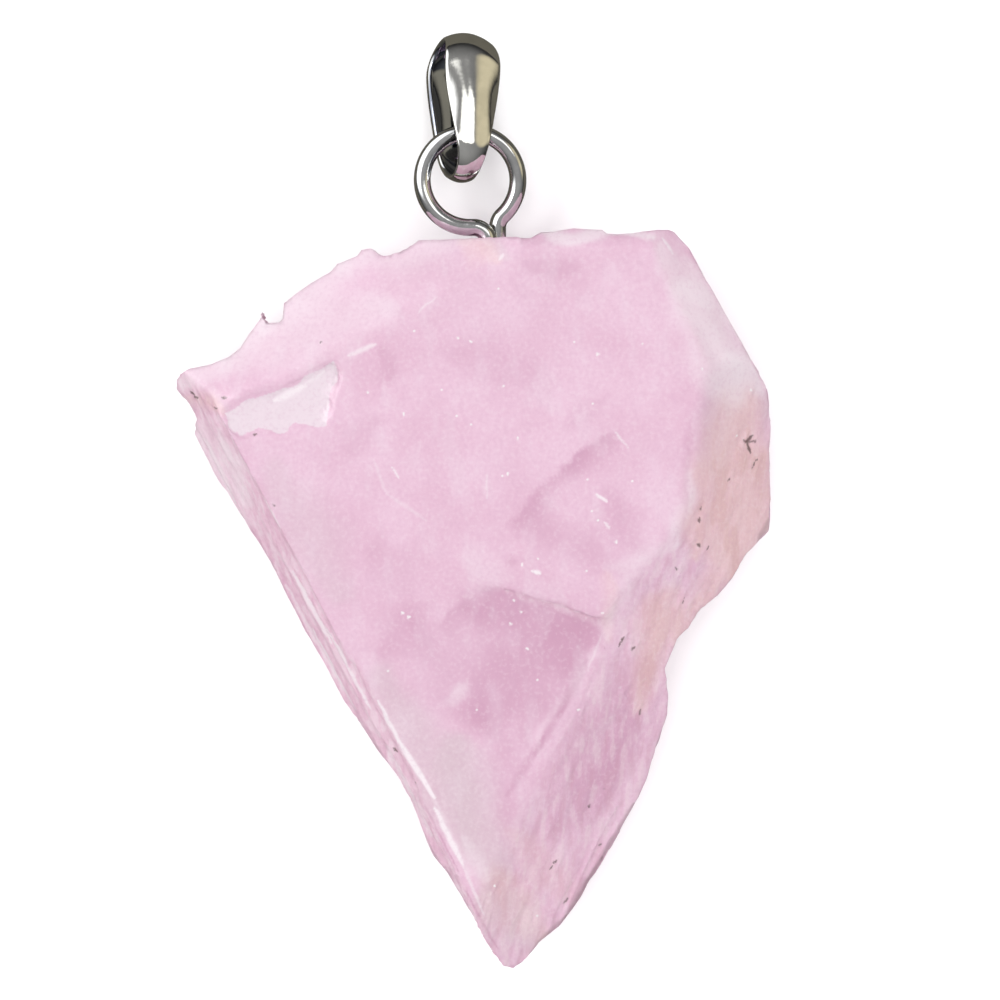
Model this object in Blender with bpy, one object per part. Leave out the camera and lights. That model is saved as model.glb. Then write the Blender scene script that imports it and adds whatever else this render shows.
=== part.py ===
"""A raw kunzite crystal worn as a pendant, lying on its back.

Metres, +Z up. The origin is on the surface that the pendant lies on, under the middle of its
length and width. The crystal's front face looks up, its point is at -Y and its bail at +Y.
The crystal is one broken stone, so it is cleaved from a slab: each facet is one plane cut.
"""

import math

import bmesh
import bpy
from mathutils import Matrix, Vector, noise

MM = 0.001
UP = Vector((0, 0, 1))

# The stone's front face is a plane: its height over the origin, and its rise towards the bail
FRONT_HEIGHT = 7.4 * MM
FRONT_RISE = 0.03
SLAB_HEIGHT = 10 * MM
# A point inside the stone, which tells a cut which of its sides is the outside
HEART = Vector((0.5, -1.0, 3.5)) * MM

# The stone's outline seen from the front, clockwise in millimetres, one list for each side
LEFT_POINT = [(-14.4, 4.85), (-15.0, 5.45), (-15.0, 6.05), (-14.75, 6.45), (-14.2, 6.75)]
UPPER_LEFT = [
    (-13.1, 6.95), (-12.25, 7.3), (-11.75, 7.75), (-11.25, 8.6), (-10.6, 9.45),
    (-10.35, 8.95), (-9.75, 8.95), (-9.7, 9.95), (-9.25, 10.2), (-8.2, 10.95),
    (-7.2, 11.6), (-6.95, 11.95), (-5.95, 12.3), (-5.75, 12.65), (-5.1, 12.75),
    (-4.55, 12.4), (-3.8, 12.5), (-2.85, 13.05),
]
TOP = [
    (-1.25, 13.15), (0.75, 13.2), (2.75, 13.2), (3.25, 13.45), (4.85, 13.6),
    (6.4, 13.6), (6.55, 13.35), (7.85, 13.45), (9.65, 13.55), (10.0, 13.45),
]
UPPER_RIGHT = [(10.75, 12.6), (11.25, 11.7), (12.25, 10.05), (13.25, 8.3), (14.25, 6.55)]
RIGHT = [
    (14.8, 5.6), (15.0, 4.05), (14.9, 2.5), (15.0, 1.9), (15.0, -0.95),
    (14.9, -1.55), (14.55, -2.0), (13.75, -2.7), (13.0, -3.95), (12.25, -4.85),
    (11.25, -5.65), (10.75, -6.45), (10.15, -6.95), (9.6, -8.4), (9.8, -9.65),
]
LOWER_RIGHT = [
    (9.8, -10.75), (9.25, -12.45), (8.7, -14.05), (8.15, -15.15), (7.65, -16.15),
    (7.2, -17.1), (6.45, -18.15), (5.85, -19.25), (5.0, -20.6), (4.35, -21.4),
    (3.3, -22.25), (2.7, -23.05),
]
TIP = [(2.05, -23.5), (1.7, -23.55), (1.4, -23.45), (1.0, -23.0)]
LOWER_LEFT = [
    (0.25, -21.65), (-0.75, -20.0), (-1.55, -18.65), (-2.25, -17.85), (-2.7, -16.75),
    (-3.35, -14.95), (-3.95, -13.85), (-4.8, -12.95), (-5.75, -11.45), (-6.75, -9.9),
    (-7.75, -8.05), (-8.65, -6.55), (-9.45, -4.95), (-10.55, -2.85), (-11.75, -0.95),
    (-12.5, 0.3), (-13.15, 1.2), (-13.85, 2.5), (-14.2, 3.3), (-14.0, 4.05),
]
OUTLINE = (
    LEFT_POINT + UPPER_LEFT + TOP + UPPER_RIGHT + RIGHT + LOWER_RIGHT + TIP + LOWER_LEFT
)

# Facets that fall away from the front face: the ridge's two ends in millimetres, and the dip
FRONT_FACETS = {
    "striated left side": ((-10.6, 0.2), (1.2, -22.4), 60),
    "upper left flank": ((-13.0, 4.55), (2.2, 12.5), 27),
    "left point": ((-13.1, 3.0), (-10.6, 6.5), 20),
    "upper right edge": ((8.8, 12.6), (13.0, 3.5), 40),
    "right flank": ((11.1, 3.5), (10.45, -0.95), 43),
    "top edge": ((1.0, 12.75), (9.6, 13.0), 42),
}
# Two more, which meet each other in a valley
VALLEY_FACETS = {
    "middle right flank": ((10.45, -0.95), (6.15, -5.95), 38),
    "lower right flank": ((6.15, -5.95), (0.25, -17.95), 31),
}
# Facets that fall back from the rim to the flat that the stone lies on
BACK_FACETS = {
    "left side": ((-12.6, 4.2), (2.6, -22.1), 57),
    "lower right side": ((12.4, 0.55), (-0.55, -22.0), 33),
    "right side": ((12.3, 6.5), (12.3, -2.5), 46),
    "upper right side": ((9.0, 11.6), (13.05, 4.6), 50),
    "top side": ((-3.0, 12.3), (10.0, 12.6), 60),
    "upper left side": ((-9.7, 6.3), (-3.5, 10.4), 38),
    "left point": ((-11.0, 7.5), (-12.9, 2.5), 32),
}

# Lower ground: outlines in millimetres, and the floor's height with its rise along X and Y
LOWER_FACE = [
    (8.5, -6.2), (6.2, -6.05), (5.25, -5.8), (4.25, -5.35), (3.25, -5.1), (2.25, -4.8),
    (1.25, -4.45), (0.65, -4.2), (0.0, -4.55), (-1.0, -5.35), (-1.75, -5.85),
    (-3.5, -6.9), (-8.0, -20.0), (2.0, -27.0), (14.0, -16.0),
]
LOWER_FACE_FLOOR = (7.39, -0.064, 0.055)
CHIP = [
    (-12.4, 4.25), (-11.75, 4.8), (-11.1, 5.15), (-9.8, 5.35), (-8.1, 6.2), (-6.95, 6.9),
    (-6.8, 6.35), (-7.2, 5.15), (-7.4, 3.9), (-8.7, 3.75), (-9.3, 3.45), (-10.5, 3.55),
    (-11.5, 3.15), (-12.2, 3.65),
]
CHIP_FLOOR = (7.5, 0.012, -0.025)
# Steps in the striated side: where each starts and ends along the ridge, and its inset and drop
STRIA_STEPS = [(3.0, 8.6, 0.05, 0.55), (9.4, 16.5, -0.1, 0.6), (13.5, 20.5, 0.35, 1.3)]
STRIA_WIDTH = 2.5 * MM

# The crystal's long axis, along which it splits, runs beside the striated side
AXIS = Vector((0.463, -0.886, 0.0)).normalized()
ACROSS = UP.cross(AXIS)
SPLIT_WIDTH = 0.8 * MM
SPLIT_LENGTH = 1.25 * MM
SPLIT_DEPTH = 1.1 * MM
REACH = 30 * MM
SNAP = 0.04 * MM
# How deep the wear goes, and how fast each kind varies along the axis, across it and in height
FACE_WEAR = 0.07 * MM
SIDE_WEAR = 0.28 * MM
SPLINTERS = Vector((0.18, 1.1, 0.9)) / MM
LUMPS = Vector((0.3, 0.3, 0.4)) / MM
GRIT = Vector((1.3, 1.3, 1.3)) / MM

# The eye: one wire bent to a ring, with both legs down a drilled hole
WIRE = 0.85 * MM
RING_CENTRE = Vector((-0.25, 16.1, 3.1)) * MM
RING_RADIUS = 2.4 * MM
LEG_OFFSET = 0.45 * MM
UPPER_LEG_X = 0.65 * MM
UPPER_LEG_BEND = 0.7 * MM
LOWER_LEG_START = 42
LOWER_LEG_BEND = 0.9 * MM
HOLE_X = 0.85 * MM
HOLE_RADIUS = 1.2 * MM
HOLE_BOTTOM = 9.3 * MM
LEG_GAP = 0.3 * MM
BEND_STEP = 15
RING_STEP = 9

# The bail: a domed strip bent to a loop around the ring's far wire
BAIL_ON_RING = 170.4
BAIL_PIVOT_RADIUS = RING_RADIUS - 0.3 * MM
BAIL_THICKNESS = 0.34 * MM
BAIL_NEAR_RADIUS = 1.6 * MM
BAIL_FAR_RADIUS = 1.65 * MM
BAIL_NEAR_CENTRE = -0.42 * MM
BAIL_FAR_CENTRE = 3.635 * MM
BAIL_NEAR_HALF_WIDTH = 0.63 * MM
BAIL_FAR_HALF_WIDTH = 1.2 * MM
BAIL_WIDEST_HALF_WIDTH = 1.5 * MM
BAIL_WIDEST = 0.79
BAIL_SWELL = 1.1
BAIL_DOME = 0.22 * MM
BAIL_ARC_STEPS = 14
BAIL_LEAF_STEPS = 8
BAIL_LANES = 6
BAIL_ROLL = 20
BAIL_DROP = 15


def clear_scene():
    for item in list(bpy.data.objects):
        bpy.data.objects.remove(item)


def finish(name, colour, roughness, metallic):
    """A material with one colour, in linear light."""
    material = bpy.data.materials.new(name)
    material.use_nodes = True
    shader = material.node_tree.nodes["Principled BSDF"]
    shader.inputs["Base Color"].default_value = (*colour, 1.0)
    shader.inputs["Roughness"].default_value = roughness
    shader.inputs["Metallic"].default_value = metallic
    return material


def place(name, mesh, material):
    """Puts a mesh or curve in the scene as the named piece."""
    piece = bpy.data.objects.new(name, mesh)
    piece.data.materials.append(material)
    bpy.context.collection.objects.link(piece)
    return piece


def mesh_of(name, shape):
    mesh = bpy.data.meshes.new(name)
    shape.to_mesh(mesh)
    shape.free()
    return mesh


def everything(shape):
    return shape.verts[:] + shape.edges[:] + shape.faces[:]


def on_front(point):
    """The point of the front face over a place given in millimetres."""
    x, y = point
    return Vector((x * MM, y * MM, FRONT_HEIGHT + FRONT_RISE * y * MM))


def on_back(point):
    return Vector((point[0] * MM, point[1] * MM, 0.0))


def slab(outline):
    """A block with the stone's outline and upright sides."""
    shape = bmesh.new()
    rim = [shape.verts.new(on_back(point)) for point in outline]
    face = shape.faces.new(rim)
    raised = bmesh.ops.extrude_face_region(shape, geom=[face])["geom"]
    tops = [item for item in raised if isinstance(item, bmesh.types.BMVert)]
    bmesh.ops.translate(shape, verts=tops, vec=UP * SLAB_HEIGHT)
    bmesh.ops.recalc_face_normals(shape, faces=shape.faces)
    return shape


def cut_away(shape, point, normal):
    """Removes what lies on the normal's side of a plane, and closes the cut."""
    bmesh.ops.bisect_plane(
        shape, geom=everything(shape), dist=SNAP / 10, plane_co=point, plane_no=normal,
        clear_outer=True,
    )
    bmesh.ops.holes_fill(shape, edges=[edge for edge in shape.edges if edge.is_boundary])


def facet_normal(start, end, dip, facing):
    """The normal of a facet that falls outwards from the ridge between two points."""
    along = (end - start).normalized()
    outward = along.cross(UP).normalized()
    if outward.dot(start - HEART) < 0:
        outward.negate()
    slope = math.radians(dip)
    normal = outward * math.sin(slope) + UP * facing * math.cos(slope)
    normal -= along * normal.dot(along)
    return normal.normalized()


def subtract(stone, shape):
    """Cuts the shape out of the stone for good."""
    cutter = bpy.data.objects.new("cutter", mesh_of("cutter", shape))
    bpy.context.collection.objects.link(cutter)
    cut = stone.modifiers.new("cut", "BOOLEAN")
    cut.object = cutter
    graph = bpy.context.evaluated_depsgraph_get()
    mesh = bpy.data.meshes.new_from_object(stone.evaluated_get(graph), depsgraph=graph)
    stone.modifiers.remove(cut)
    stone.data = mesh
    bpy.data.objects.remove(cutter)


def carve(stone, outline, floor):
    """Cuts down to a sloping floor inside an outline given in millimetres."""
    height, rise_x, rise_y = floor
    shape = slab(outline)
    for vert in shape.verts:
        if vert.co.z == 0:
            vert.co.z = height * MM + rise_x * vert.co.x + rise_y * vert.co.y
    subtract(stone, shape)


def carve_valley(stone, facets):
    """Cuts away what stands above all of the facets, which leaves a valley between them."""
    shape = bmesh.new()
    bmesh.ops.create_cube(shape, size=2 * REACH)
    for start, end, dip in facets:
        start = on_front(start)
        cut_away(shape, start, -facet_normal(start, on_front(end), dip, 1))
    bmesh.ops.recalc_face_normals(shape, faces=shape.faces)
    subtract(stone, shape)


def stria_step(first, last, inset, drop):
    """The outline and floor of one step beside the striated side's ridge, in millimetres."""
    ridge = Vector((*FRONT_FACETS["striated left side"][0], 0.0))
    inner = [ridge + AXIS * first, ridge + AXIS * last]
    outer = [point - ACROSS * STRIA_WIDTH / MM for point in reversed(inner)]
    inner = [point - ACROSS * inset for point in inner]
    corners = [(point.x, point.y) for point in inner + outer]
    return corners, (FRONT_HEIGHT / MM - drop, 0.0, FRONT_RISE)


def split(shape, direction, spacing):
    """Adds edges where evenly spaced planes cross everything but the flat underneath."""
    for step in range(-int(REACH / spacing), int(REACH / spacing) + 1):
        sides = [face for face in shape.faces if face.calc_center_median().z > SNAP]
        edges = {edge for face in sides for edge in face.edges}
        verts = {vert for face in sides for vert in face.verts}
        bmesh.ops.bisect_plane(
            shape, geom=list(verts) + list(edges) + sides, dist=SNAP,
            plane_co=direction * spacing * (step + 0.5), plane_no=direction,
        )


def wear(shape):
    """Sinks the surface a little, in splinters along the crystal's axis where it is broken."""
    shape.normal_update()
    moves = []
    for vert in shape.verts:
        if vert.co.z < SNAP:
            continue
        spot = Vector((vert.co.dot(AXIS), vert.co.dot(ACROSS), vert.co.z))
        steep = min(1.0, 1.6 * (1 - abs(vert.normal.z)))
        level = 0.5 + 0.3 * (0.4 + steep) * noise.noise(spot * SPLINTERS)
        level += 0.25 * noise.noise(spot * LUMPS) + 0.17 * steep * noise.noise(spot * GRIT)
        depth = FACE_WEAR + (SIDE_WEAR - FACE_WEAR) * steep
        moves.append((vert, vert.normal * depth * max(0.0, min(1.0, level))))
    for vert, move in moves:
        vert.co -= move


def make_stone():
    shape = slab(OUTLINE)
    cut_away(shape, on_front((0, 0)), Vector((0, -FRONT_RISE, 1)).normalized())
    for start, end, dip in FRONT_FACETS.values():
        start = on_front(start)
        cut_away(shape, start, facet_normal(start, on_front(end), dip, 1))
    for start, end, dip in BACK_FACETS.values():
        start = on_back(start)
        cut_away(shape, start, facet_normal(start, on_back(end), dip, -1))
    bmesh.ops.recalc_face_normals(shape, faces=shape.faces)
    bmesh.ops.triangulate(shape, faces=shape.faces)
    material = finish("kunzite_pink", (0.80, 0.56, 0.74), 0.3, 0.0)
    stone = place("kunzite", mesh_of("kunzite", shape), material)
    carve_valley(stone, VALLEY_FACETS.values())
    carve(stone, LOWER_FACE, LOWER_FACE_FLOOR)
    carve(stone, CHIP, CHIP_FLOOR)
    for step in STRIA_STEPS:
        carve(stone, *stria_step(*step))

    shape = bmesh.new()
    shape.from_mesh(stone.data)
    bmesh.ops.remove_doubles(shape, verts=shape.verts, dist=SNAP / 4)
    bmesh.ops.dissolve_limit(
        shape, angle_limit=math.radians(0.5), verts=shape.verts, edges=shape.edges
    )
    split(shape, ACROSS, SPLIT_WIDTH)
    split(shape, AXIS, SPLIT_LENGTH)
    split(shape, UP, SPLIT_DEPTH)
    bmesh.ops.triangulate(shape, faces=shape.faces)
    bmesh.ops.remove_doubles(shape, verts=shape.verts, dist=SNAP)
    bmesh.ops.dissolve_degenerate(shape, edges=shape.edges, dist=SNAP / 4)
    wear(shape)
    bmesh.ops.triangulate(shape, faces=shape.faces)
    shape.to_mesh(stone.data)
    shape.free()
    drill(stone)


def drill(stone):
    """Cuts the hole for the eye's legs into the stone's top side."""
    shape = bmesh.new()
    top = TOP[0][1] * MM + 2 * HOLE_RADIUS
    bmesh.ops.create_cone(
        shape, cap_ends=True, segments=20, radius1=HOLE_RADIUS, radius2=HOLE_RADIUS,
        depth=top - HOLE_BOTTOM,
    )
    turn = Matrix.Rotation(math.radians(90), 4, "X")
    middle = Vector((HOLE_X, (top + HOLE_BOTTOM) / 2, RING_CENTRE.z))
    bmesh.ops.transform(shape, verts=shape.verts, matrix=Matrix.Translation(middle) @ turn)
    drill_bit = bpy.data.objects.new("drill_bit", mesh_of("drill_bit", shape))
    bpy.context.collection.objects.link(drill_bit)
    drill_bit.hide_render = True
    drill_bit.display_type = "WIRE"
    hole = stone.modifiers.new("drilled hole", "BOOLEAN")
    hole.object = drill_bit


def ring_point(degrees, radius=RING_RADIUS):
    """A point of the eye's ring, clockwise from its bottom, sinking from one leg to the other."""
    turn = math.radians(degrees)
    out = Vector((-math.sin(turn), -math.cos(turn), 0)) * radius
    share = degrees / (360 - LOWER_LEG_START)
    return RING_CENTRE + out + UP * LEG_OFFSET * (1 - 2 * share)


def eye_path():
    """The wire's middle line: up one leg, round the ring, and down the other leg."""
    leg_end = HOLE_BOTTOM + LEG_GAP
    bend = Vector((UPPER_LEG_X - UPPER_LEG_BEND, RING_CENTRE.y - RING_RADIUS - UPPER_LEG_BEND, 0))
    bend.z = RING_CENTRE.z + LEG_OFFSET
    path = [Vector((UPPER_LEG_X, leg_end, bend.z)), Vector((UPPER_LEG_X, bend.y, bend.z))]
    for degrees in range(BEND_STEP, 90, BEND_STEP):
        turn = math.radians(degrees)
        path.append(bend + Vector((math.cos(turn), math.sin(turn), 0)) * UPPER_LEG_BEND)
    last = 360 - LOWER_LEG_START
    path += [ring_point(degrees) for degrees in range(2, last, RING_STEP)]
    end = ring_point(last)
    path.append(end)
    start = math.radians(LOWER_LEG_START)
    for degrees in range(LOWER_LEG_START - BEND_STEP, -1, -BEND_STEP):
        turn = math.radians(degrees)
        side = LOWER_LEG_BEND * (math.cos(turn) - math.cos(start))
        down = LOWER_LEG_BEND * (math.sin(start) - math.sin(turn))
        path.append(end + Vector((-side, -down, 0)))
    path.append(Vector((path[-1].x, leg_end, end.z)))
    return path


def make_eye():
    curve = bpy.data.curves.new("wire_eye", "CURVE")
    curve.dimensions = "3D"
    curve.bevel_depth = WIRE / 2
    curve.bevel_resolution = 3
    curve.use_fill_caps = True
    path = eye_path()
    wire = curve.splines.new("POLY")
    wire.points.add(len(path) - 1)
    for point, place_on_path in zip(wire.points, path):
        point.co = (*place_on_path, 1.0)
    place("wire_eye", curve, finish("silver_wire", (0.72, 0.72, 0.74), 0.15, 1.0))


def bail_loop():
    """The bail's middle line in its own plane, as (along, depth), all the way round."""
    gap = BAIL_FAR_CENTRE - BAIL_NEAR_CENTRE
    lean = math.asin((BAIL_FAR_RADIUS - BAIL_NEAR_RADIUS) / gap)
    far_half = math.pi / 2 + lean
    points = []
    for step in range(BAIL_ARC_STEPS + 1):
        turn = far_half * (2 * step / BAIL_ARC_STEPS - 1)
        points.append((BAIL_FAR_CENTRE + BAIL_FAR_RADIUS * math.cos(turn),
                       BAIL_FAR_RADIUS * math.sin(turn)))
    near_half = math.pi / 2 - lean
    near = []
    for step in range(BAIL_ARC_STEPS + 1):
        turn = math.pi + near_half * (2 * step / BAIL_ARC_STEPS - 1)
        near.append((BAIL_NEAR_CENTRE + BAIL_NEAR_RADIUS * math.cos(turn),
                     BAIL_NEAR_RADIUS * math.sin(turn)))
    front = [mix(points[-1], near[0], step / BAIL_LEAF_STEPS) for step in range(1, BAIL_LEAF_STEPS)]
    back = [mix(near[-1], points[0], step / BAIL_LEAF_STEPS) for step in range(1, BAIL_LEAF_STEPS)]
    return points + front + near + back


def mix(start, end, share):
    return tuple(a + (b - a) * share for a, b in zip(start, end))


def bail_half_width(along):
    """Narrow where the strip holds the ring, and widest a little before its far end."""
    near_end = BAIL_NEAR_CENTRE - BAIL_NEAR_RADIUS
    share = (along - near_end) / (BAIL_FAR_CENTRE + BAIL_FAR_RADIUS - near_end)
    if share < BAIL_WIDEST:
        grown = math.sin(math.pi / 2 * (max(0.0, share) / BAIL_WIDEST) ** BAIL_SWELL)
        return BAIL_NEAR_HALF_WIDTH + (BAIL_WIDEST_HALF_WIDTH - BAIL_NEAR_HALF_WIDTH) * grown
    past = (share - BAIL_WIDEST) / (1 - BAIL_WIDEST)
    return BAIL_WIDEST_HALF_WIDTH - (BAIL_WIDEST_HALF_WIDTH - BAIL_FAR_HALF_WIDTH) * past ** 2


def make_bail():
    loop = bail_loop()
    shape = bmesh.new()
    bmesh.ops.create_circle(shape, segments=len(loop), radius=1.0)
    edges = shape.edges[:]
    for _ in range(BAIL_LANES):
        grown = bmesh.ops.extrude_edge_only(shape, edges=edges)["geom"]
        edges = [item for item in grown if isinstance(item, bmesh.types.BMEdge)]
        verts = [item for item in grown if isinstance(item, bmesh.types.BMVert)]
        bmesh.ops.translate(shape, verts=verts, vec=UP)
    middle = Vector(((BAIL_FAR_CENTRE + BAIL_NEAR_CENTRE) / 2, 0))
    for vert in shape.verts:
        turn = math.atan2(vert.co.y, vert.co.x) / math.tau
        along, depth = loop[round(turn * len(loop)) % len(loop)]
        side = 2 * vert.co.z / BAIL_LANES - 1
        outward = (Vector((along, depth)) - middle).normalized()
        dome = BAIL_DOME * (1 - side * side)
        vert.co = (
            side * bail_half_width(along), along + outward.x * dome, depth + outward.y * dome
        )
    bmesh.ops.recalc_face_normals(shape, faces=shape.faces)
    bmesh.ops.solidify(shape, geom=shape.faces[:], thickness=BAIL_THICKNESS)
    bmesh.ops.recalc_face_normals(shape, faces=shape.faces)
    pose = Matrix.Rotation(math.radians(-BAIL_DROP), 4, "X")
    pose = pose @ Matrix.Rotation(math.radians(BAIL_ROLL), 4, "Y")
    bmesh.ops.transform(shape, verts=shape.verts, matrix=pose)
    bail = place("bail", mesh_of("bail", shape), finish("silver", (0.80, 0.79, 0.76), 0.1, 1.0))
    bail.location = ring_point(BAIL_ON_RING, BAIL_PIVOT_RADIUS)


clear_scene()
make_stone()
make_eye()
make_bail()
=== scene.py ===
"""The looks of a raw kunzite crystal pendant that lies on its back, seen from straight above."""

import math

import bmesh
import bpy
from mathutils import Matrix, Vector, kdtree, noise


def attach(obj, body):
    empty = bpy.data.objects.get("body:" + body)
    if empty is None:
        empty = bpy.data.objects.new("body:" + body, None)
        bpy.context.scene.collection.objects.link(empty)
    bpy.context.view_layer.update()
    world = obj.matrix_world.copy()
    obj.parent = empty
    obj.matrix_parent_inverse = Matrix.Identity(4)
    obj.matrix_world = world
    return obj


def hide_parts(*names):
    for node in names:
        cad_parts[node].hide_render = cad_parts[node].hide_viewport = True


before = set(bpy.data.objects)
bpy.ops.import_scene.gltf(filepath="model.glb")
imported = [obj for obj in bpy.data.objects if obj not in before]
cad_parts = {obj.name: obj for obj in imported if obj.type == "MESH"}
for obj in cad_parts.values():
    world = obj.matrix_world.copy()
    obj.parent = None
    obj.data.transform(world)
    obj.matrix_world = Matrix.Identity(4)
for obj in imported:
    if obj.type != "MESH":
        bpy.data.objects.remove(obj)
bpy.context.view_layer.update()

# The table and the light. The pendant lies on a plain white sheet, under a wide soft panel
# overhead and a brighter one from the upper left, in a room that is dark where it is mirrored.

MM = 0.001
UP = Vector((0, 0, 1))
FLOOR_SIZE = 900 * MM
FLOOR_GAP = 0.05 * MM
SHEET_WHITE = (0.9, 0.9, 0.9, 1.0)
SHEET_ROUGHNESS = 0.9
# What is mirrored is a darker table, which draws the metal's outline against the white
MIRRORED_SHEET = (0.085, 0.08, 0.065, 1.0)
# Each panel's place, its width and its power
OVERHEAD = (0.05, 0.0, 0.62), 0.5, 1.2
UPPER_LEFT = (-0.32, 0.13, 0.4), 0.14, 0.55
SOFT_ROOM = (1.3, 1.3, 1.3, 1.0)
BACKDROP = (1.0, 1.0, 1.0, 1.0)
# How the mirrored room brightens, from a little over its horizon to straight overhead
GLOW = {"From Min": 0.1, "From Max": 1.0, "To Min": 0.03, "To Max": 0.34}
# Bright cards that are only mirrored: which way they lie, their size in degrees, and colour
CARDS = [
    ((0.20, 0.39, 0.90), 9, 12, (1.7, 1.7, 1.65)),
    ((0.44, 0.39, 0.81), 9, 12, (1.7, 1.7, 1.65)),
    ((0.85, 0.33, 0.42), 10, 24, (0.68, 0.61, 0.43)),
    ((-0.66, 0.5, 0.56), 28, 40, (1.7, 1.72, 1.75)),
]
VIEW_MIDDLE = Vector((1.25, 0.05, 4.0)) * MM
VIEW_DISTANCE = 300 * MM
VIEW_WIDTH = 50 * MM
VIEW_START = 10 * MM
SENSOR = 36.0


def linked(data, name):
    """An object at the origin with that mesh, curve, light or camera."""
    made = bpy.data.objects.new(name, data)
    bpy.context.scene.collection.objects.link(made)
    return made


def mesh_from(shape, name):
    mesh = bpy.data.meshes.new(name)
    shape.to_mesh(mesh)
    shape.free()
    return mesh


def panel(name, place, size, watts):
    """A square soft light that faces the middle of the pendant."""
    lamp = bpy.data.lights.new(name, "AREA")
    lamp.size = size
    lamp.energy = watts
    made = linked(lamp, name)
    made.location = place
    made.rotation_euler = (VIEW_MIDDLE - Vector(place)).to_track_quat("-Z", "Y").to_euler()
    made.visible_camera = False
    return made


def add(tree, kind, inputs, **settings):
    """A shader node with its settings; an input is a value or another node's output."""
    made = tree.nodes.new(kind)
    for name, value in settings.items():
        setattr(made, name, value)
    for name, value in inputs.items():
        if isinstance(value, bpy.types.NodeSocket):
            tree.links.new(value, made.inputs[name])
        else:
            made.inputs[name].default_value = value
    return made


def maths(tree, operation, *values):
    return add(tree, "ShaderNodeMath", dict(enumerate(values)), operation=operation).outputs[0]


def mirrored(tree):
    """1 where a gloss mirrors this, and 0 where it is seen or shows through the stone."""
    ray = add(tree, "ShaderNodeLightPath", {})
    return add(tree, "ShaderNodeMath", {
        0: ray.outputs["Is Glossy Ray"], 1: ray.outputs["Is Transmission Ray"],
    }, operation="SUBTRACT", use_clamp=True).outputs[0]


def either(tree, choice, first, second):
    """The first shader where the choice is 0, and the second where it is 1."""
    return add(tree, "ShaderNodeMixShader", {
        0: choice, 1: first.outputs[0], 2: second.outputs[0],
    })


def fade(tree, value, full, gone):
    """1 up to full and 0 past gone, with a smooth fall between them."""
    made = add(tree, "ShaderNodeMapRange", {
        "Value": value, "From Min": full, "From Max": gone, "To Min": 1.0, "To Max": 0.0,
    }, interpolation_type="SMOOTHSTEP", clamp=False)
    return made.outputs["Result"]


def washed(tree, under, colour, mask, strength=1.0):
    """The colour so far, with another laid over it where the mask is."""
    under_socket, over_socket, mixed_socket = 6, 7, 2
    return add(tree, "ShaderNodeMix", {
        0: maths(tree, "MULTIPLY", mask, strength), under_socket: under, over_socket: colour,
    }, data_type="RGBA").outputs[mixed_socket]


floor_shape = bmesh.new()
bmesh.ops.create_grid(floor_shape, x_segments=1, y_segments=1, size=FLOOR_SIZE / 2)
bmesh.ops.translate(floor_shape, verts=floor_shape.verts, vec=(0, 0, -FLOOR_GAP))
floor = linked(mesh_from(floor_shape, "floor"), "floor")
white_sheet = bpy.data.materials.new("white_sheet")
white_sheet.use_nodes = True
sheet_tree = white_sheet.node_tree
sheet_shader = sheet_tree.nodes["Principled BSDF"]
sheet_shader.inputs["Base Color"].default_value = SHEET_WHITE
sheet_shader.inputs["Roughness"].default_value = SHEET_ROUGHNESS
dark_sheet = add(sheet_tree, "ShaderNodeBsdfDiffuse", {"Color": MIRRORED_SHEET})
sheet_look = either(sheet_tree, mirrored(sheet_tree), sheet_shader, dark_sheet)
sheet_tree.links.new(sheet_look.outputs[0], sheet_tree.nodes["Material Output"].inputs["Surface"])
floor.data.materials.append(white_sheet)

overhead = panel("overhead panel", *OVERHEAD)
overhead.visible_glossy = False
panel("upper left panel", *UPPER_LEFT)

room = bpy.data.worlds.new("room")
bpy.context.scene.world = room
room.use_nodes = True
room_tree = room.node_tree
soft_room = room_tree.nodes["Background"]
soft_room.inputs["Color"].default_value = SOFT_ROOM
toward = add(room_tree, "ShaderNodeTexCoord", {}).outputs["Generated"]
climb = add(room_tree, "ShaderNodeSeparateXYZ", {"Vector": toward}).outputs["Z"]
glow = add(room_tree, "ShaderNodeMapRange", {"Value": climb, **GLOW}).outputs["Result"]
in_gloss = add(room_tree, "ShaderNodeCombineColor", {
    "Red": glow, "Green": glow, "Blue": glow,
}).outputs["Color"]
for way, full, gone, tint in CARDS:
    facing = add(room_tree, "ShaderNodeVectorMath", {
        0: toward, 1: Vector(way).normalized(),
    }, operation="DOT_PRODUCT").outputs["Value"]
    card = fade(room_tree, facing, math.cos(math.radians(full)), math.cos(math.radians(gone)))
    in_gloss = washed(room_tree, in_gloss, (*tint, 1.0), card)
mirrored_room = add(room_tree, "ShaderNodeBackground", {"Color": in_gloss})
backdrop = add(room_tree, "ShaderNodeBackground", {"Color": BACKDROP})
lit_room = either(room_tree, mirrored(room_tree), soft_room, mirrored_room)
seen = add(room_tree, "ShaderNodeLightPath", {}).outputs["Is Camera Ray"]
whole_room = either(room_tree, seen, lit_room, backdrop)
room_tree.links.new(whole_room.outputs[0], room_tree.nodes["World Output"].inputs["Surface"])

camera_data = bpy.data.cameras.new("camera")
camera_data.sensor_width = SENSOR
camera_data.lens = SENSOR * VIEW_DISTANCE / VIEW_WIDTH
camera_data.clip_start = VIEW_START
camera = linked(camera_data, "camera")
camera.location = VIEW_MIDDLE + UP * VIEW_DISTANCE
bpy.context.scene.camera = camera
bpy.context.scene.view_settings.view_transform = "Standard"

# The stone. One raw kunzite crystal, cleaved and broken to a kite shape, cloudy inside, and
# drilled at its top for the eye. The long left side keeps the grooves of its growth, the right
# flank is splintered, and the rest is cleft.

# The crystal's long axis runs beside the grooved left side, the splinters lean the other way
AXIS = Vector((0.463, -0.886, 0.0)).normalized()
ACROSS = UP.cross(AXIS)
SPLINTER = Vector((-0.40, -0.92, 0.0)).normalized()
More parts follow.
